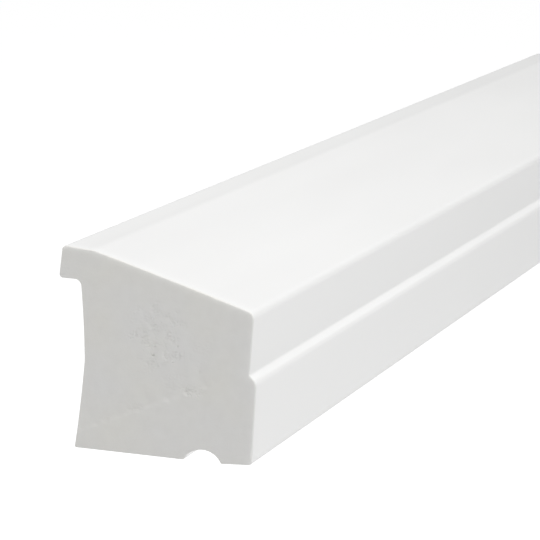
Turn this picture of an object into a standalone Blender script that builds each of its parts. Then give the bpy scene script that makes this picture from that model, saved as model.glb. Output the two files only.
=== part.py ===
"""A length of sill nose moulding: one solid extrusion of white foamed PVC, cut square at both ends.

The section has a lip that hooks back over the window frame, a hollow back, a top that slopes to shed
water, a stepped front face with a chamfer, and a round drip groove in the underside.
X runs along the moulding, the front face looks along -Y, and Z is up.
The origin is at the middle of the length and of the depth, on the underside.
"""

import math

import bmesh
import bpy
from mathutils import Vector
from mathutils.geometry import interpolate_bezier

MM = 0.001

# Overall sizes, to the corners before they are rounded
LENGTH = 600.0 * MM
DEPTH = 50.8 * MM
HEIGHT = 49.3 * MM

# The lip at the top of the back
LIP_REACH = 5.5 * MM
LIP_THICKNESS = 8.0 * MM
LIP_LEAN = math.radians(3.5)
LIP_TOP_FALL = math.radians(4.7)
LIP_TOP_WIDTH = 7.85 * MM
BEAD_WIDTH = 1.5 * MM
BEAD_RISE = 0.06 * MM

# The sloping top
SLOPE = math.radians(15.6)
SLOPE_CROWN = 0.17 * MM

# The front face: an upper band set back behind a chamfer, and a lower band
LOWER_BAND = 20.5 * MM
CHAMFER = 1.8 * MM
UPPER_BATTER = 0.25 * MM

# The underside, with its drip groove
GROOVE_WIDTH = 9.4 * MM
GROOVE_DEPTH = 2.9 * MM
GROOVE_SETBACK = 7.6 * MM
NOSE_RISE = 0.48 * MM

# The hollow back: two flanks that meet at a waist
TOE_SETBACK = 6.15 * MM
WAIST_SETBACK = 7.55 * MM
WAIST_HEIGHT = 21.6 * MM
UPPER_FLANK_HOLLOW = 0.2 * MM
LOWER_FLANK_HOLLOW = 0.18 * MM

# Radii of the rounded corners; the edges of the groove and the toe of the back are sharp
LIP_TOP_RADIUS = 0.95 * MM
LIP_TOE_RADIUS = 0.9 * MM
BEAD_RADIUS = 3.0 * MM
BEAD_FOOT_RADIUS = 7.0 * MM
ARRIS_RADIUS = 2.2 * MM
STEP_RADIUS = 0.8 * MM
CHAMFER_RADIUS = 2.4 * MM
DRIP_EDGE_RADIUS = 0.6 * MM
WAIST_RADIUS = 20.0 * MM
LEDGE_RADIUS = 1.8 * MM

# How finely round stretches are divided
FILLET_PITCH = 0.35 * MM
LEAST_FILLET_STEPS = 2
BOW_STEPS = 10
GROOVE_STEPS = 24
FILLET_SHARE = 0.48  # a fillet takes less than half of either face beside it
SMOOTH_ANGLE = math.radians(25.0)

PVC_WHITE = (0.86, 0.86, 0.845, 1.0)
PVC_ROUGHNESS = 0.38


class Corner:
    """A corner of the section, and the face that follows it on the way round."""

    def __init__(self, setback, height, radius, bow=0.0, steps=BOW_STEPS):
        self.at = Vector((setback, height))  # setback is measured forward from the toe of the lip
        self.radius = radius
        self.bow = bow  # how far the middle of the next face stands out, or in when negative
        self.steps = steps


def section_corners():
    """The corners of the section, clockwise as seen with the front on the right: up, forward, down and back."""
    ledge = HEIGHT - LIP_THICKNESS
    lip_top_setback = LIP_THICKNESS * math.tan(LIP_LEAN)
    bead_foot_setback = LIP_TOP_WIDTH - BEAD_WIDTH
    bead_foot = HEIGHT - (bead_foot_setback - lip_top_setback) * math.tan(LIP_TOP_FALL)
    bead_top = bead_foot + BEAD_RISE
    step_setback = DEPTH - CHAMFER
    arris_setback = step_setback + UPPER_BATTER
    arris = bead_top - (arris_setback - LIP_TOP_WIDTH) * math.tan(SLOPE)
    groove_front = DEPTH - GROOVE_SETBACK
    groove_back = groove_front - GROOVE_WIDTH
    return [
        Corner(0.0, ledge, LIP_TOE_RADIUS),
        Corner(lip_top_setback, HEIGHT, LIP_TOP_RADIUS),
        Corner(bead_foot_setback, bead_foot, BEAD_FOOT_RADIUS),
        Corner(LIP_TOP_WIDTH, bead_top, BEAD_RADIUS, SLOPE_CROWN),
        Corner(arris_setback, arris, ARRIS_RADIUS),
        Corner(step_setback, LOWER_BAND + CHAMFER, STEP_RADIUS),
        Corner(DEPTH, LOWER_BAND, CHAMFER_RADIUS),
        Corner(DEPTH, NOSE_RISE, DRIP_EDGE_RADIUS),
        Corner(groove_front, 0.0, 0.0, -GROOVE_DEPTH, GROOVE_STEPS),
        Corner(groove_back, 0.0, 0.0),
        Corner(TOE_SETBACK, 0.0, 0.0, -LOWER_FLANK_HOLLOW),
        Corner(WAIST_SETBACK, WAIST_HEIGHT, WAIST_RADIUS, -UPPER_FLANK_HOLLOW),
        Corner(LIP_REACH, ledge, LEDGE_RADIUS),
    ]


class Face:
    """The straight or bowed face from one corner of the section to the next."""

    def __init__(self, start, end):
        chord = end.at - start.at
        self.middle = (start.at + end.at) / 2.0
        self.along = chord.normalized()
        self.out = Vector((-self.along.y, self.along.x)) * (-1.0 if start.bow < 0.0 else 1.0)
        self.bowed = start.bow != 0.0
        self.steps = start.steps
        self.length = chord.length
        if self.bowed:
            self.half_angle = 2.0 * math.atan(2.0 * abs(start.bow) / chord.length)
            self.radius = chord.length / (2.0 * math.sin(self.half_angle))
            self.length = 2.0 * self.radius * self.half_angle

    def point(self, share):
        """The point at this share of the way along."""
        if not self.bowed:
            return self.middle + self.along * (share - 0.5) * self.length
        angle = self.half_angle * (2.0 * share - 1.0)
        rise = math.cos(angle) - math.cos(self.half_angle)
        return self.middle + (self.along * math.sin(angle) + self.out * rise) * self.radius

    def direction(self, share):
        """The direction of travel at this share of the way along."""
        if not self.bowed:
            return self.along
        angle = self.half_angle * (2.0 * share - 1.0)
        return self.along * math.cos(angle) - self.out * math.sin(angle)


def fillet_cut(corner, before, after):
    """How much of each face the corner's fillet takes, and the angle that it turns through."""
    turn = before.direction(1.0).angle(after.direction(0.0))
    room = FILLET_SHARE * min(before.length, after.length)
    return min(corner.radius * math.tan(turn / 2.0), room), turn


def fillet_points(corner, cut, turn, before, after):
    """Points of the corner, from where its fillet leaves one face to where it meets the next."""
    if corner.radius == 0.0:
        return [corner.at]
    leave = 1.0 - cut / before.length
    meet = cut / after.length
    handle = 2.0 / 3.0 * cut * (1.0 - math.tan(turn / 4.0) ** 2)
    start = before.point(leave)
    end = after.point(meet)
    steps = max(LEAST_FILLET_STEPS, round(corner.radius * turn / FILLET_PITCH))
    return interpolate_bezier(
        start,
        start + before.direction(leave) * handle,
        end - after.direction(meet) * handle,
        end,
        steps + 1,
    )


def section_outline():
    """All the points of the section, as (setback, height), clockwise with the front on the right."""
    corners = section_corners()
    count = len(corners)
    faces = [Face(corners[i], corners[(i + 1) % count]) for i in range(count)]
    cuts = [fillet_cut(corners[i], faces[i - 1], faces[i]) for i in range(count)]
    points = []
    for i, face in enumerate(faces):
        points += fillet_points(corners[i], *cuts[i], faces[i - 1], face)
        if face.bowed:
            first = cuts[i][0] / face.length
            last = 1.0 - cuts[(i + 1) % count][0] / face.length
            for step in range(1, face.steps):
                points.append(face.point(first + (last - first) * step / face.steps))
    return points


def white_pvc():
    """The smooth white skin of the extrusion."""
    material = bpy.data.materials.new("white_pvc")
    material.use_nodes = True
    shader = material.node_tree.nodes["Principled BSDF"]
    shader.inputs["Base Color"].default_value = PVC_WHITE
    shader.inputs["Roughness"].default_value = PVC_ROUGHNESS
    shader.inputs["Metallic"].default_value = 0.0
    return material


def moulding(name, outline):
    """The outline, extruded along X from one square cut to the other."""
    shape = bmesh.new()
    start_x = -LENGTH / 2.0
    ring = [shape.verts.new((start_x, DEPTH / 2.0 - setback, height)) for setback, height in outline]
    end_face = shape.faces.new(ring)
    extruded = bmesh.ops.extrude_face_region(shape, geom=[end_face], use_keep_orig=True)
    moved = [item for item in extruded["geom"] if isinstance(item, bmesh.types.BMVert)]
    bmesh.ops.translate(shape, verts=moved, vec=(LENGTH, 0.0, 0.0))
    bmesh.ops.recalc_face_normals(shape, faces=shape.faces)
    mesh = bpy.data.meshes.new(name)
    shape.to_mesh(mesh)
    shape.free()
    mesh.shade_smooth()
    mesh.set_sharp_from_angle(angle=SMOOTH_ANGLE)
    mesh.materials.append(white_pvc())
    piece = bpy.data.objects.new(name, mesh)
    bpy.context.scene.collection.objects.link(piece)
    return piece


def main():
    for old in list(bpy.data.objects):
        bpy.data.objects.remove(old)
    moulding("sill_nose_moulding", section_outline())


main()
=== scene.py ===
"""A length of white foamed PVC sill nose moulding, seen from its near end on a plain white floor.

The section is read from the solid in model.glb. The long faces get the satin skin that the die leaves,
and the two ends the sawn foam: saw marks, torn cells and a soft edge.
Places are in metres. X runs along the moulding, the front face looks along -Y, and Z is up.
"""

import math
import random

import bmesh
import bpy
import numpy as np
from mathutils import Matrix, Vector, geometry, noise


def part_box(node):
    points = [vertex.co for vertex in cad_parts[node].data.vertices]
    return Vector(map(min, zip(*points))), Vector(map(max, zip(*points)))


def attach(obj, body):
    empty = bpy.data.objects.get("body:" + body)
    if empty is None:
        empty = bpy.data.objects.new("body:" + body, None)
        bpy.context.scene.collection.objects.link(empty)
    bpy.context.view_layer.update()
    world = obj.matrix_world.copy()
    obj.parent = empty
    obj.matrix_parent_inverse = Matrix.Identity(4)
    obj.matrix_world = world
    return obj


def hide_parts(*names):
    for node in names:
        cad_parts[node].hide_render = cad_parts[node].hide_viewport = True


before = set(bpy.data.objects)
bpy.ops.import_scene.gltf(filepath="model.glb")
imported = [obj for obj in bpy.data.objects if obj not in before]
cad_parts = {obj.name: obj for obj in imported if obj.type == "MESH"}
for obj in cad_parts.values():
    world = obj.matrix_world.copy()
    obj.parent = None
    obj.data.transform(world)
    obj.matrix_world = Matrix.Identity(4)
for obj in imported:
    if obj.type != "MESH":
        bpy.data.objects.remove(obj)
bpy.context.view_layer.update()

MM = 0.001
NODE = "sill_nose_moulding"
LOW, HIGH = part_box(NODE)

# The order of the piece's materials
SKIN = 0
FOAM = 1

# The section's outline
SAME_PLACE = 1e-6  # places closer than this are one
PLACE_DIGITS = 6
SHARP_TURN = math.radians(35.0)  # a corner that turns further is one that the solid leaves sharp
EDGE_ROUNDING = 0.4 * MM
EDGE_STEPS = 5
LEAST_FLAT = 1.5 * MM  # a shorter stretch of the outline belongs to a round one
FLAT_STEP = 0.8 * MM

# The soft crest, where the lip meets the sloping top
CREST = Vector((HIGH.y - 7.8 * MM, HIGH.z - 0.7 * MM))
CREST_SOFTNESS = 0.9 * MM
CREST_REACH = 4.5 * MM
CREST_FADE = 2.0 * MM  # the softness fades out over this length at the end of its reach
CREST_STEP = 0.45 * MM
CREST_SAMPLES = 25
CREST_SPREAD = 3.0  # how many softnesses away the furthest samples are

# The long faces
STATION_STEP = 6.0 * MM
WAVE_DEPTH = 0.012 * MM
WAVE_LENGTH = 90.0 * MM
WAVE_WIDTH = 14.0 * MM

# The edge of a sawn end: worn where it faces up or forward, and left sharp elsewhere
WEAR_STARTS = 0.3  # how far the skin faces up or forward where the wear starts
WEAR_GROWS = 0.6  # and how much further it faces that way where the edge is fully worn
RIM = 0.42 * MM
SHARP_RIM = 0.04 * MM
RIM_STEPS = 4
RIM_WOBBLE = 0.3
RIM_WOBBLE_LENGTH = 1.7 * MM
ROLL_WIDTH = 1.1 * MM  # the sawn face rolls off towards a worn edge
ROLL_DEPTH = 0.12 * MM
NICK_UP = 3.7 * MM  # a nick in the near end's front edge
NICK_TALL = 0.7 * MM
NICK_SIZE = 0.35 * MM
NICK_FACING = 0.9  # it is only in skin that faces at least this far forward

# The grid of a sawn end
FACE_PITCH = 0.45 * MM
ROUGH_PITCH = 0.165 * MM
ROW_SPACING = math.sqrt(0.75)  # as a share of the pitch, so that the grid's triangles are even
GRID_SCATTER = 0.12  # as a share of the pitch too
EDGE_GAP = 0.6 * ROUGH_PITCH
INSIDE_ONLY = 1  # the kind of triangulation that fills a loop and nothing beyond it
MERGE_GAP = 1e-5  # in millimetres

# The relief of a sawn end: the foam's grain and the saw marks
NEAR_SEED = 3
FAR_SEED = 8
OTHER_NOISE = 3.0  # a step to a part of the noise that looks unlike the first
OCTAVE_STEP = 2.0  # how much finer each octave of a noise is than the one before
FADE = 0.8 * MM  # the relief dies away this far from the edge
FOAM_RELIEF = 0.012 * MM
FOAM_GRAIN = 0.9 * MM
FOAM_FALL = 0.8  # how fast its octaves weaken
FOAM_OCTAVES = 3
KERF_RELIEF = 0.004 * MM
KERF_PITCH = 1.05 * MM
TORN_KERF = 2.0  # how much deeper the saw marks are where the face is rough
BLADE_BACK = 40.0 * MM  # the saw blade's axle, back from the front face and up from the underside
BLADE_UP = -95.0 * MM

# The rough spots, where cells are torn in clumps
SPOT_STEEPNESS = 1.6  # how soon a spot reaches its strength
SPOT_WOBBLE = 0.9  # how ragged the border of a spot is
SPOT_GRAIN = 4.0 * MM
CLUMP = 2.0 * MM
CLUMP_COVER = 0.55  # how torn a rough spot is on the whole
CLUMP_CONTRAST = 1.8  # and how much more so in a clump than between clumps
ROUGH_RELIEF = 0.24 * MM
ROUGH_WIDE = 0.62 * MM
ROUGH_TALL = 0.5 * MM
ROUGH_MEAN = 0.5
ROUGH_SWING = 0.7
ROUGH_FALL = 0.7  # how fast its octaves weaken
ROUGH_OCTAVES = 2

# The single torn cells, or pits
PIT_RADIUS = (0.09 * MM, 0.18 * MM)
PIT_DEPTH = (0.05 * MM, 0.16 * MM)
PIT_SCATTER = 0.6  # how far out in its spot a pit may be, as a share of the spot
PIT_SPACING = 1.6  # how far apart two pits are at least, as a share of their radii
PIT_BRIM = 1.2  # how many radii from its middle a pit's brim is
PIT_RINGS = ((0.5, 6), (0.95, 9), (1.35, 12))  # how many radii out each ring of points is, and its points
PIT_CLEARANCE = 1.7  # how many radii off the grid stays

# The step where two saw cuts meet on the near end, from the back to the front
STEP_START = Vector((LOW.y + 43.5 * MM, LOW.z + 4.5 * MM))
STEP_END = Vector((LOW.y + 9.5 * MM, LOW.z + 19.7 * MM))
STEP_HEIGHT = 0.33 * MM
STEP_WIDTH = 1.6 * MM
STEP_WOBBLE = 0.4 * MM
STEP_WOBBLE_LENGTH = 1.3 * MM
STEP_REACH = 4.0 * MM  # the step levels out this far above its line
STEP_FADE = 3.0 * MM  # it fades out over this length at its front
STEP_MEAN = 0.8  # its mean height, as a share of the full one
STEP_SWING = 0.4  # and how far it goes up and down
STEP_SWING_LENGTH = 2.5 * MM

# Patterns of the materials, as how many grains there are to a metre along each axis
DRAW_LINES = (3.0, 900.0, 900.0)
CLOUDS = (9.0, 60.0, 60.0)
ORANGE_PEEL = (700.0, 900.0, 900.0)
WARM_PATCHES = (50.0, 50.0, 50.0)
MOTTLE = (200.0, 330.0, 330.0)
FINE_CELLS = (1500.0, 1900.0, 1900.0)
NOISE_LOW = 0.3  # the middle range of a noise
NOISE_HIGH = 0.7

# The satin skin
SKIN_DARK = (0.756, 0.756, 0.751, 1.0)
SKIN_LIGHT = (0.763, 0.763, 0.758, 1.0)
SKIN_ROUGHNESS = (0.38, 0.42)
SKIN_SPECULAR = 0.25
DRAW_LINE_DEPTH = 0.004 * MM
ORANGE_PEEL_DEPTH = 0.003 * MM

# The sawn foam
FOAM_DARK = (0.7, 0.697, 0.688, 1.0)
FOAM_DARK_WARM = (0.705, 0.697, 0.665, 1.0)
FOAM_LIGHT = (0.722, 0.72, 0.712, 1.0)
FOAM_LIGHT_WARM = (0.727, 0.72, 0.687, 1.0)
FOAM_ROUGHNESS = (0.78, 0.92)
FOAM_SPECULAR = 0.3
FINE_CELL_DEPTH = 0.03 * MM

# The camera, measured from the near end of the front bottom edge; lens and sensor are in millimetres
CAMERA_BACK = 822.35 * MM
CAMERA_OUT = 216.64 * MM
CAMERA_UP = 181.69 * MM
CAMERA_HEADING = math.radians(14.644)
CAMERA_PITCH = math.radians(-8.921)
CAMERA_ROLL = math.radians(3.423)
CAMERA_LENS = 240.874
SENSOR = 36.0

# The floor, which glows a little more by the near end
WHITE = (1.0, 1.0, 1.0, 1.0)
FLOOR_GREY = (0.05, 0.05, 0.05, 1.0)
FLOOR_HALF = 15.0
FLOOR_GLOW = 0.96
NEAR_GLOW = 1.13
GLOW_REACH = 0.45

# The two softboxes and the room
LIGHTS_AIM = Vector((-0.05, 0.0, 0.02))
SOFTBOX_SIZE = 1.0
KEY_PLACE = (-0.5, -0.4, 2.1)
KEY_WATTS = 33.0
FILL_PLACE = (-0.3, -0.9, 2.1)
FILL_WATTS = 24.0
ROOM_STRENGTH = 0.204


def clipped(share):
    """A share, kept between none and all."""
    return min(1.0, max(0.0, share))


def eased(share):
    """A share that leaves none and reaches all gently."""
    return share * share * (3.0 - 2.0 * share)


def lifted(wave):
    """A wave about nought, brought to between none and all."""
    return 0.5 + 0.5 * wave


class Spot:
    """A rough spot of a sawn end, in millimetres: how far back from the front face and up, and its size."""

    def __init__(self, back, up, half_width, half_height, strength, pits):
        self.at = Vector((LOW.y + back * MM, LOW.z + up * MM))
        self.half_width = half_width * MM
        self.half_height = half_height * MM
        self.strength = strength
        self.pits = pits

    def share(self, y, z):
        """How rough the face is at a place, from none at the spot's edge to its strength well inside."""
        across = (y - self.at.x) / self.half_width
        along = (z - self.at.y) / self.half_height
        ragged = SPOT_WOBBLE * noise.noise(Vector((y, z, self.at.x)) / SPOT_GRAIN)
        return self.strength * clipped(SPOT_STEEPNESS * (1.0 - across * across - along * along + ragged))


class Pit:
    """A torn cell in the sawn foam."""

    def __init__(self, at, radius, depth):
        self.at = at
        self.radius = radius
        self.depth = depth


def pit_at(back, up, radius, depth):
    """A torn cell, in millimetres: how far back from the front face and up, and its size."""
    return Pit(Vector((LOW.y + back * MM, LOW.z + up * MM)), radius * MM, depth * MM)


# Back, up, half width, half height, strength, how many pits
NEAR_SPOTS = (
    Spot(25.3, 29.8, 7.6, 8.8, 1.0, 16),
    Spot(15.4, 16.8, 3.8, 1.9, 1.0, 5),
    Spot(30.5, 11.4, 4.4, 1.8, 0.6, 0),
    Spot(20.5, 19.0, 3.4, 2.8, 0.5, 0),
    Spot(14.0, 27.5, 3.6, 6.5, 0.3, 1),
)
FAR_SPOTS = (
    Spot(27.5, 31.0, 5.0, 4.5, 0.9, 12),
    Spot(21.5, 24.5, 7.5, 4.2, 0.8, 12),
    Spot(15.5, 29.5, 3.0, 5.5, 0.5, 2),
    Spot(35.0, 12.0, 4.5, 2.2, 0.6, 4),
)
# Back, up, radius, depth
NEAR_PITS = (
    pit_at(26.1, 24.8, 0.3, 0.4),
    pit_at(21.1, 23.5, 0.22, 0.2),
    pit_at(20.0, 27.5, 0.2, 0.16),
    pit_at(14.3, 21.8, 0.3, 0.1),
)
FAR_PITS = (pit_at(30.0, 24.0, 0.28, 0.3), pit_at(19.0, 31.0, 0.2, 0.2))


def cad_outline():
    """The solid's outline at its near end, as (y, z) points in order round the section."""
    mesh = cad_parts[NODE].data
    steps = set()
    for face in mesh.polygons:
        corners = [mesh.vertices[i].co for i in face.vertices]
        if all(abs(corner.x - LOW.x) < SAME_PLACE for corner in corners):
            ring = [(round(corner.y, PLACE_DIGITS), round(corner.z, PLACE_DIGITS)) for corner in corners]
            steps.update(zip(ring, ring[1:] + ring[:1]))
    # A step that no other triangle takes the other way is part of the outline.
    after = {start: end for start, end in steps if (end, start) not in steps}
    outline = [min(after)]
    while len(outline) < len(after):
        outline.append(after[outline[-1]])
    points = [Vector(point) for point in outline]
    return points if enclosed_area(points) > 0.0 else points[::-1]


def enclosed_area(points):
    """The area within a loop of points, positive when it runs anticlockwise."""
    return sum(a.x * b.y - a.y * b.x for a, b in zip(points, points[1:] + points[:1])) / 2.0


def neighbours(points):
    """Each point of a loop with the one before it and the one after it."""
    return zip(points[-1:] + points[:-1], points, points[1:] + points[:1])


def with_rounded_edges(points):
    """The loop with each sharp corner turned into a small arc."""
    rounded = []
    for before, at, after in neighbours(points):
        into = (at - before).normalized()
        out_of = (after - at).normalized()
        turn = into.angle(out_of)
        if turn < SHARP_TURN:
            rounded.append(at)
            continue
        cut = EDGE_ROUNDING * math.tan(turn / 2.0)
        # With this handle the curve follows a round arc.
        handle = 2.0 / 3.0 * cut * (1.0 - math.tan(turn / 4.0) ** 2)
        start = at - into * cut
        end = at + out_of * cut
        rounded += geometry.interpolate_bezier(
            start, start + into * handle, end - out_of * handle, end, EDGE_STEPS + 1
        )
    return rounded


def tangent(before, at, after):
    """The outline's direction at a point. Beside a flat stretch it is the flat's own."""
    into = at - before
    out_of = after - at
    if into.length > LEAST_FLAT and out_of.length <= LEAST_FLAT:
        return into.normalized()
    if out_of.length > LEAST_FLAT and into.length <= LEAST_FLAT:
        return out_of.normalized()
    return (into.normalized() + out_of.normalized()).normalized()


def refined(points):
    """The loop with points added: evenly along flat stretches, and on the curve midway along round ones."""
    tangents = [tangent(*three) for three in neighbours(points)]
    count = len(points)
    fine = []
    for i, start in enumerate(points):
        end = points[(i + 1) % count]
        chord = end - start
        fine.append(start)
        if chord.length > LEAST_FLAT:
            parts = math.ceil(chord.length / FLAT_STEP)
            fine += [start + chord * (k / parts) for k in range(1, parts)]
        else:
            bulge = (tangents[i] - tangents[(i + 1) % count]) * chord.length / 8.0
            fine.append((start + end) / 2.0 + bulge)
    return fine


def crest_share(place):
    """How fully a place is softened: fully near the crest, and not at all beyond its reach."""
    left = CREST_REACH - (place - CREST).length
    return clipped(left / CREST_FADE)


def softened(points):
    """The loop with the crest drawn soft: each place there becomes a mean of those round it."""
    fine = []
    for start, end in zip(points, points[1:] + points[:1]):
        parts = 1
        if crest_share((start + end) / 2.0) > 0.0:
            parts = math.ceil((end - start).length / CREST_STEP)
        fine += [start.lerp(end, k / parts) for k in range(parts)]
    loop = np.array([tuple(point) for point in fine])
    runs = np.concatenate([[0.0], np.cumsum(np.linalg.norm(np.diff(loop, axis=0), axis=1))])
    spread = np.linspace(-CREST_SPREAD, CREST_SPREAD, CREST_SAMPLES)
    weights = np.exp(-0.5 * spread**2)
    weights /= weights.sum()
    soft = []
    for run, point in zip(runs, fine):
        around = run + spread * CREST_SOFTNESS
        mean = Vector([np.interp(around, runs, loop[:, axis]) @ weights for axis in (0, 1)])
        soft.append(point.lerp(mean, crest_share(point)))
    return soft


def outward_normals(points):
    """The direction out of the section at each point of an anticlockwise loop."""
    normals = []
    for before, at, after in neighbours(points):
        along = (at - before).normalized() + (after - at).normalized()
        normals.append(Vector((along.y, -along.x)).normalized())
    return normals


def stations():
    """Places along the moulding, evenly between its ends."""
    count = round((HIGH.x - LOW.x) / STATION_STEP)
    return [LOW.x + (HIGH.x - LOW.x) * k / count for k in range(1, count)]


def skin_sink(x, y, z):
    """How far the skin lies inside the true section: long shallow waves left by cooling."""
    wave = noise.noise(Vector((x / WAVE_LENGTH, y / WAVE_WIDTH, z / WAVE_WIDTH)))
    return WAVE_DEPTH * lifted(wave)


def ring_at(outline, normals, places, insets):
    """A ring of points: the outline at the given places along X, and drawn in by the insets."""
    ring = []
    for point, normal, x, inset in zip(outline, normals, places, insets):
        sunk = point - normal * (inset + skin_sink(x, point.x, point.y))
        ring.append((x, max(sunk.x, LOW.y), max(sunk.y, LOW.z)))
    return ring


def worn_share(normal):
    """How worn an end's edge is where the skin beside it faces this way."""
    facing = max(normal.y, -normal.x)
    return eased(clipped((facing - WEAR_STARTS) / WEAR_GROWS))


class SawnEnd:
    """One sawn end of the moulding: its edge, and the relief of its face."""

    def __init__(self, x, inward, seed, spots, pits):
        self.x = x
        self.inward = inward
        self.seed = seed
        self.spots = spots
        self.pits = scattered_pits(spots, pits, seed)
        self.near = inward > 0.0

    def edge(self, outline, normals):
        """How deep the face has rolled off at each point of the outline, and how round its edge is."""
        rolls = []
        radii = []
        for point, normal in zip(outline, normals):
            share = worn_share(normal)
            place = (point.x / RIM_WOBBLE_LENGTH, point.y / RIM_WOBBLE_LENGTH, self.seed)
            wobble = noise.noise(Vector(place))
            radius = SHARP_RIM + (RIM * (1.0 + RIM_WOBBLE * wobble) - SHARP_RIM) * share
            if self.near and normal.x < -NICK_FACING:
                radius += NICK_SIZE * math.exp(-(((point.y - LOW.z - NICK_UP) / NICK_TALL) ** 2))
            rolls.append(ROLL_DEPTH * share)
            radii.append(radius)
        return rolls, radii

    def edge_rings(self, outline, normals):
        """Rings of points round the soft edge, from the sawn face to the skin."""
        rolls, radii = self.edge(outline, normals)
        rings = []
        for step in range(RIM_STEPS + 1):
            angle = math.pi / 2.0 * step / RIM_STEPS
            depths = [roll + radius * (1.0 - math.cos(angle)) for roll, radius in zip(rolls, radii)]
            places = [self.x + self.inward * depth for depth in depths]
            insets = [radius * (1.0 - math.sin(angle)) for radius in radii]
            rings.append(ring_at(outline, normals, places, insets))
        return rings

    def roughness(self, y, z):
        """How rough the face is at a place, from 0 to 1."""
        return max(spot.share(y, z) for spot in self.spots)

    def is_fine(self, y, z):
        """Whether a place needs the finer grid: in a rough spot, or on the step."""
        if self.roughness(y, z) > 0.0:
            return True
        run, above = self.over_step(y, z)
        return self.near and abs(above) < STEP_WIDTH and 0.0 < run < (STEP_END - STEP_START).length

    def over_step(self, y, z):
        """How far along the step's line a place is, and how far above it."""
        along = (STEP_END - STEP_START).normalized()
        offset = Vector((y, z)) - STEP_START
        run = offset.dot(along)
        wobble = noise.noise(Vector((run / STEP_WOBBLE_LENGTH, 0.0, self.seed))) * STEP_WOBBLE
        return run, wobble + along.y * offset.x - along.x * offset.y

    def step_down(self, y, z):
        """The low step where two saw cuts meet: the face lies a little deeper above its line."""
        run, above = self.over_step(y, z)
        rise = eased(clipped(0.5 + above / STEP_WIDTH))
        left = (STEP_END - STEP_START).length - run
        fade = clipped(left / STEP_FADE) * math.exp(-max(above, 0.0) / STEP_REACH)
        swing = noise.noise(Vector((run / STEP_SWING_LENGTH, OTHER_NOISE, self.seed)))
        return STEP_HEIGHT * rise * fade * (STEP_MEAN + STEP_SWING * swing)

    def sawn(self, y, z, rough):
        """The foam's grain and the saw marks."""
        place = (y / FOAM_GRAIN, z / FOAM_GRAIN, self.seed)
        grain = noise.fractal(Vector(place), FOAM_FALL, OCTAVE_STEP, FOAM_OCTAVES)
        reach = math.hypot(y - LOW.y - BLADE_BACK, z - LOW.z - BLADE_UP)
        kerf = lifted(math.cos(2.0 * math.pi * reach / KERF_PITCH))
        return FOAM_RELIEF * lifted(grain) + KERF_RELIEF * kerf * (1.0 + (TORN_KERF - 1.0) * rough)

    def torn(self, y, z, rough):
        """The clumps of torn cells in a rough spot."""
        clump = clipped(CLUMP_COVER + CLUMP_CONTRAST * noise.noise(Vector((y, z, 0.0)) / CLUMP))
        place = (y / ROUGH_WIDE, z / ROUGH_TALL, self.seed + OTHER_NOISE)
        cells = noise.fractal(Vector(place), ROUGH_FALL, OCTAVE_STEP, ROUGH_OCTAVES)
        return ROUGH_RELIEF * rough * clump * (ROUGH_MEAN + ROUGH_SWING * cells)

    def depth(self, y, z, within, roll):
        """How deep the face lies at a place that is so far within its edge."""
        rough = self.roughness(y, z)
        relief = self.sawn(y, z, rough)
        if rough > 0.0:
            relief += self.torn(y, z, rough)
        if self.near:
            relief += self.step_down(y, z)
        for pit in self.pits:
            gap = math.hypot(y - pit.at.x, z - pit.at.y) / pit.radius
            if gap < PIT_BRIM:
                relief += pit.depth * (1.0 - (gap / PIT_BRIM) ** 2)
        rolled = roll * max(0.0, 1.0 - within / ROLL_WIDTH) ** 2
        return rolled + max(relief, 0.0) * min(1.0, within / FADE)


def scattered_pits(spots, chosen, seed):
    """The chosen torn cells, and smaller ones scattered through the rough spots."""
    draw = random.Random(seed)
    found = list(chosen)
    for spot in spots:
        for _ in range(spot.pits):
            across = draw.uniform(-PIT_SCATTER, PIT_SCATTER) * spot.half_width
            along = draw.uniform(-PIT_SCATTER, PIT_SCATTER) * spot.half_height
            radius = draw.uniform(*PIT_RADIUS)
            pit = Pit(spot.at + Vector((across, along)), radius, draw.uniform(*PIT_DEPTH))
            if all((pit.at - other.at).length > PIT_SPACING * (radius + other.radius) for other in found):
                found.append(pit)
    return found


def pit_places(pit):
    """The points that shape a torn cell: its middle, and rings round its floor, its wall and its brim."""
    places = [tuple(pit.at)]
    for share, sides in PIT_RINGS:
        for k in range(sides):
            angle = 2.0 * math.pi * (k + share) / sides
            reach = pit.radius * share
            places.append((pit.at.x + reach * math.cos(angle), pit.at.y + reach * math.sin(angle)))
    return places


def place_within(places, loop):
    """How far each place is inside a loop, negative outside it, and the loop's step that is nearest."""
    ends = np.roll(loop, -1, axis=0)
    nearest = np.full(len(places), np.inf)
    beside = np.zeros(len(places), int)
    inside = np.zeros(len(places), bool)
    for k, (start, end) in enumerate(zip(loop, ends)):
        along = end - start
        share = np.clip((places - start) @ along / (along @ along), 0.0, 1.0)
        gap = np.linalg.norm(places - start - share[:, None] * along, axis=1)
        beside[gap < nearest] = k
        nearest = np.minimum(nearest, gap)
        crosses = (start[1] > places[:, 1]) != (end[1] > places[:, 1])
        if crosses.any():
            reach = start[0] + (places[:, 1] - start[1]) * along[0] / along[1]
            inside ^= crosses & (places[:, 0] < reach)
    return np.where(inside, nearest, -nearest), beside


def grid_places(loop, pitch, seed):
    """Places in rows with a little scatter, over the rectangle that holds a loop."""
    scatter = np.random.default_rng(seed)
    low = loop.min(axis=0)
    high = loop.max(axis=0)
    rows = []
    for row, up in enumerate(np.arange(low[1], high[1], pitch * ROW_SPACING)):
        across = np.arange(low[0] + pitch / 2.0 * (row % 2), high[0], pitch)
        rows.append(np.column_stack([across, np.full(len(across), up)]))
    places = np.concatenate(rows)
    return places + scatter.uniform(-GRID_SCATTER, GRID_SCATTER, places.shape) * pitch


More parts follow.
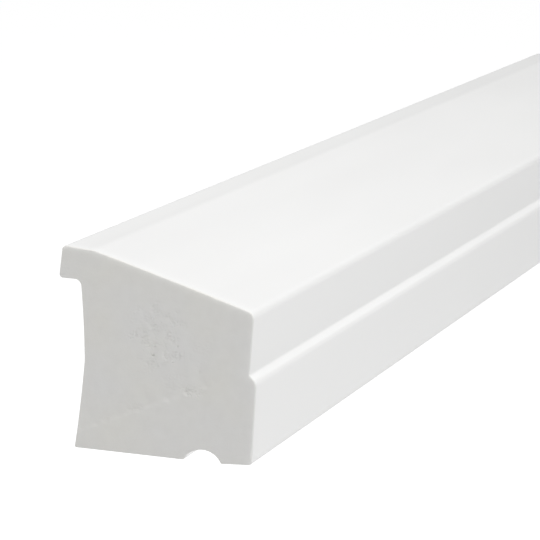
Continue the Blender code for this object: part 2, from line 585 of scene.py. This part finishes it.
def face_places(sawn, loop):
    """Places over a sawn face: a fine grid, a finer one where the face is rough, and each pit's own."""
    smooth = grid_places(loop, FACE_PITCH, sawn.seed)
    rough = grid_places(loop, ROUGH_PITCH, sawn.seed)
    smooth = smooth[[not sawn.is_fine(y, z) for y, z in smooth]]
    rough = rough[[sawn.is_fine(y, z) for y, z in rough]]
    places = np.concatenate([smooth, rough])
    centres = np.array([tuple(pit.at) for pit in sawn.pits])
    radii = np.array([pit.radius for pit in sawn.pits])
    gaps = np.linalg.norm(places[:, None, :] - centres[None, :, :], axis=2) / radii
    places = places[gaps.min(axis=1) > PIT_CLEARANCE]
    in_pits = np.array([place for pit in sawn.pits for place in pit_places(pit)])
    places = np.concatenate([places, in_pits])
    within, beside = place_within(places, loop)
    clear = within > EDGE_GAP
    return places[clear], within[clear], beside[clear]


def fill_end(shape, ring, sawn, rolls):
    """Closes one end with its sawn face, whose edge is the given ring of corners."""
    loop = np.array([corner.co.yz for corner in ring])
    places, depths, beside = face_places(sawn, loop)
    count = len(ring)
    flat = [Vector(point) / MM for point in np.concatenate([loop, places])]
    edges = [(k, (k + 1) % count) for k in range(count)]
    _, _, faces, sources, _, _ = geometry.delaunay_2d_cdt(flat, edges, [], INSIDE_ONLY, MERGE_GAP)
    corners = list(ring)
    for (y, z), within, k in zip(places, depths, beside):
        roll = (rolls[k] + rolls[(k + 1) % count]) / 2.0
        corners.append(shape.verts.new((sawn.x + sawn.inward * sawn.depth(y, z, within, roll), y, z)))
    for face in faces:
        made = shape.faces.new([corners[sources[k][0]] for k in face])
        made.material_index = FOAM


def moulding_mesh():
    """The whole length: skin and both sawn ends in one closed mesh."""
    outline = softened(refined(with_rounded_edges(cad_outline())))
    normals = outward_normals(outline)
    near = SawnEnd(LOW.x, 1.0, NEAR_SEED, NEAR_SPOTS, NEAR_PITS)
    far = SawnEnd(HIGH.x, -1.0, FAR_SEED, FAR_SPOTS, FAR_PITS)
    count = len(outline)
    places = near.edge_rings(outline, normals)
    places += [ring_at(outline, normals, [x] * count, [0.0] * count) for x in stations()]
    places += far.edge_rings(outline, normals)[::-1]
    shape = bmesh.new()
    rings = [[shape.verts.new(place) for place in ring] for ring in places]
    for row, (first, second) in enumerate(zip(rings, rings[1:])):
        from_end = min(row, len(rings) - 2 - row)
        for k in range(count):
            following = (k + 1) % count
            made = shape.faces.new((first[k], first[following], second[following], second[k]))
            made.material_index = FOAM if from_end < RIM_STEPS else SKIN
    fill_end(shape, rings[0], near, near.edge(outline, normals)[0])
    fill_end(shape, rings[-1], far, far.edge(outline, normals)[0])
    bmesh.ops.recalc_face_normals(shape, faces=shape.faces)
    mesh = bpy.data.meshes.new("moulding_length")
    shape.to_mesh(mesh)
    shape.free()
    mesh.shade_smooth()
    return mesh


class Nodes:
    """A short way to write a material's nodes."""

    def __init__(self, name):
        self.material = bpy.data.materials.new(name)
        self.material.use_nodes = True
        self.tree = self.material.node_tree
        self.shader = self.tree.nodes["Principled BSDF"]

    def link(self, start, end):
        self.tree.links.new(start, end)

    def place(self, scale):
        """The place on the object, counted in grains along each axis."""
        where = self.tree.nodes.new("ShaderNodeTexCoord")
        mapping = self.tree.nodes.new("ShaderNodeMapping")
        mapping.inputs["Scale"].default_value = scale
        self.link(where.outputs["Object"], mapping.inputs["Vector"])
        return mapping.outputs["Vector"]

    def noise(self, scale, detail, roughness=0.5):
        """A noise that has so many grains to a metre along each axis."""
        node = self.tree.nodes.new("ShaderNodeTexNoise")
        node.inputs["Scale"].default_value = 1.0
        node.inputs["Detail"].default_value = detail
        node.inputs["Roughness"].default_value = roughness
        self.link(self.place(scale), node.inputs["Vector"])
        return node.outputs["Fac"]

    def span(self, factor, low, high):
        """The factor's middle range, spread from low to high."""
        node = self.tree.nodes.new("ShaderNodeMapRange")
        node.inputs["From Min"].default_value = NOISE_LOW
        node.inputs["From Max"].default_value = NOISE_HIGH
        node.inputs["To Min"].default_value = low
        node.inputs["To Max"].default_value = high
        self.link(factor, node.inputs["Value"])
        return node.outputs["Result"]

    def blend(self, factor, first, second):
        """A colour between two."""
        node = self.tree.nodes.new("ShaderNodeMix")
        node.data_type = "RGBA"
        for name, colour in (("A", first), ("B", second)):
            socket = next(s for s in node.inputs if s.name == name and s.type == "RGBA")
            if isinstance(colour, tuple):
                socket.default_value = colour
            else:
                self.link(colour, socket)
        self.link(factor, node.inputs["Factor"])
        return next(s for s in node.outputs if s.type == "RGBA")

    def along(self, start, end, first, last):
        """A value that goes from first to last between two places along X."""
        where = self.tree.nodes.new("ShaderNodeTexCoord")
        split = self.tree.nodes.new("ShaderNodeSeparateXYZ")
        node = self.tree.nodes.new("ShaderNodeMapRange")
        node.inputs["From Min"].default_value = start
        node.inputs["From Max"].default_value = end
        node.inputs["To Min"].default_value = first
        node.inputs["To Max"].default_value = last
        self.link(where.outputs["Object"], split.inputs["Vector"])
        self.link(split.outputs["X"], node.inputs["Value"])
        return node.outputs["Result"]

    def bump(self, height, distance, before=None):
        """A relief of that depth on the surface."""
        node = self.tree.nodes.new("ShaderNodeBump")
        node.inputs["Distance"].default_value = distance
        self.link(height, node.inputs["Height"])
        if before is not None:
            self.link(before, node.inputs["Normal"])
        return node.outputs["Normal"]


def skin_material():
    """The satin white skin: faint draw lines along the length, and a very fine orange peel."""
    nodes = Nodes("satin_pvc_skin")
    draw_lines = nodes.noise(DRAW_LINES, detail=2.0)
    clouds = nodes.noise(CLOUDS, detail=3.0)
    peel = nodes.noise(ORANGE_PEEL, detail=2.0)
    colour = nodes.blend(nodes.span(clouds, 0.0, 1.0), SKIN_DARK, SKIN_LIGHT)
    nodes.link(colour, nodes.shader.inputs["Base Color"])
    nodes.link(nodes.span(clouds, *SKIN_ROUGHNESS), nodes.shader.inputs["Roughness"])
    nodes.shader.inputs["Specular IOR Level"].default_value = SKIN_SPECULAR
    relief = nodes.bump(draw_lines, DRAW_LINE_DEPTH)
    relief = nodes.bump(peel, ORANGE_PEEL_DEPTH, relief)
    nodes.link(relief, nodes.shader.inputs["Normal"])
    return nodes.material


def foam_material():
    """The sawn foam: matt, a touch warmer than the skin, mottled, with cells too small to model."""
    nodes = Nodes("sawn_pvc_foam")
    warmth = nodes.span(nodes.noise(WARM_PATCHES, detail=2.0), 0.0, 1.0)
    mottle = nodes.span(nodes.noise(MOTTLE, detail=4.0, roughness=0.6), 0.0, 1.0)
    fine = nodes.noise(FINE_CELLS, detail=3.0, roughness=0.6)
    dark = nodes.blend(warmth, FOAM_DARK, FOAM_DARK_WARM)
    light = nodes.blend(warmth, FOAM_LIGHT, FOAM_LIGHT_WARM)
    colour = nodes.blend(mottle, dark, light)
    nodes.link(colour, nodes.shader.inputs["Base Color"])
    nodes.link(nodes.span(fine, *FOAM_ROUGHNESS), nodes.shader.inputs["Roughness"])
    nodes.link(nodes.bump(fine, FINE_CELL_DEPTH), nodes.shader.inputs["Normal"])
    nodes.shader.inputs["Specular IOR Level"].default_value = FOAM_SPECULAR
    return nodes.material


def moulding():
    """The piece that stands for the solid."""
    piece = bpy.data.objects.new("moulding_length", moulding_mesh())
    bpy.context.scene.collection.objects.link(piece)
    piece.data.materials.append(skin_material())
    piece.data.materials.append(foam_material())
    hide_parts(NODE)
    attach(piece, "root")


def camera():
    """The photograph's viewpoint, looking along the moulding from in front of its near end."""
    data = bpy.data.cameras.new("camera")
    data.sensor_width = SENSOR
    data.lens = CAMERA_LENS
    seen_from = bpy.data.objects.new("camera", data)
    heading = Matrix.Rotation(CAMERA_HEADING - math.pi / 2.0, 4, "Z")
    tilt = Matrix.Rotation(math.pi / 2.0 + CAMERA_PITCH, 4, "X")
    roll = Matrix.Rotation(CAMERA_ROLL, 4, "Z")
    place = Matrix.Translation((LOW.x - CAMERA_BACK, LOW.y - CAMERA_OUT, LOW.z + CAMERA_UP))
    seen_from.matrix_world = place @ heading @ tilt @ roll
    bpy.context.scene.collection.objects.link(seen_from)
    bpy.context.scene.camera = seen_from


def floor():
    """A plain white floor that is bright enough to show almost no shadow."""
    shape = bmesh.new()
    for x, y in ((-1, -1), (1, -1), (1, 1), (-1, 1)):
        shape.verts.new((x * FLOOR_HALF, y * FLOOR_HALF, LOW.z))
    shape.faces.new(shape.verts)
    mesh = bpy.data.meshes.new("floor")
    shape.to_mesh(mesh)
    shape.free()
    nodes = Nodes("white_floor")
    nodes.shader.inputs["Base Color"].default_value = FLOOR_GREY
    nodes.shader.inputs["Roughness"].default_value = 1.0
    nodes.shader.inputs["Specular IOR Level"].default_value = 0.0
    nodes.shader.inputs["Emission Color"].default_value = WHITE
    glow = nodes.along(LOW.x, LOW.x + GLOW_REACH, NEAR_GLOW, FLOOR_GLOW)
    nodes.link(glow, nodes.shader.inputs["Emission Strength"])
    mesh.materials.append(nodes.material)
    table = bpy.data.objects.new("floor", mesh)
    bpy.context.scene.collection.objects.link(table)


def softbox(name, place, watts):
    """A square soft light at a place, aimed at the moulding."""
    data = bpy.data.lights.new(name, "AREA")
    data.shape = "SQUARE"
    data.size = SOFTBOX_SIZE
    data.energy = watts
    light = bpy.data.objects.new(name, data)
    light.location = place
    light.rotation_euler = (LIGHTS_AIM - Vector(place)).to_track_quat("-Z", "Y").to_euler()
    bpy.context.scene.collection.objects.link(light)


def studio():
    """Two large softboxes above and in front of the near end, and a pale room round them."""
    softbox("key", KEY_PLACE, KEY_WATTS)
    softbox("fill", FILL_PLACE, FILL_WATTS)
    world = bpy.data.worlds.new("pale_room")
    world.use_nodes = True
    background = world.node_tree.nodes["Background"]
    background.inputs["Color"].default_value = WHITE
    background.inputs["Strength"].default_value = ROOM_STRENGTH
    bpy.context.scene.world = world
    bpy.context.scene.view_settings.view_transform = "Standard"


moulding()
floor()
studio()
camera()

bpy.context.view_layer.update()
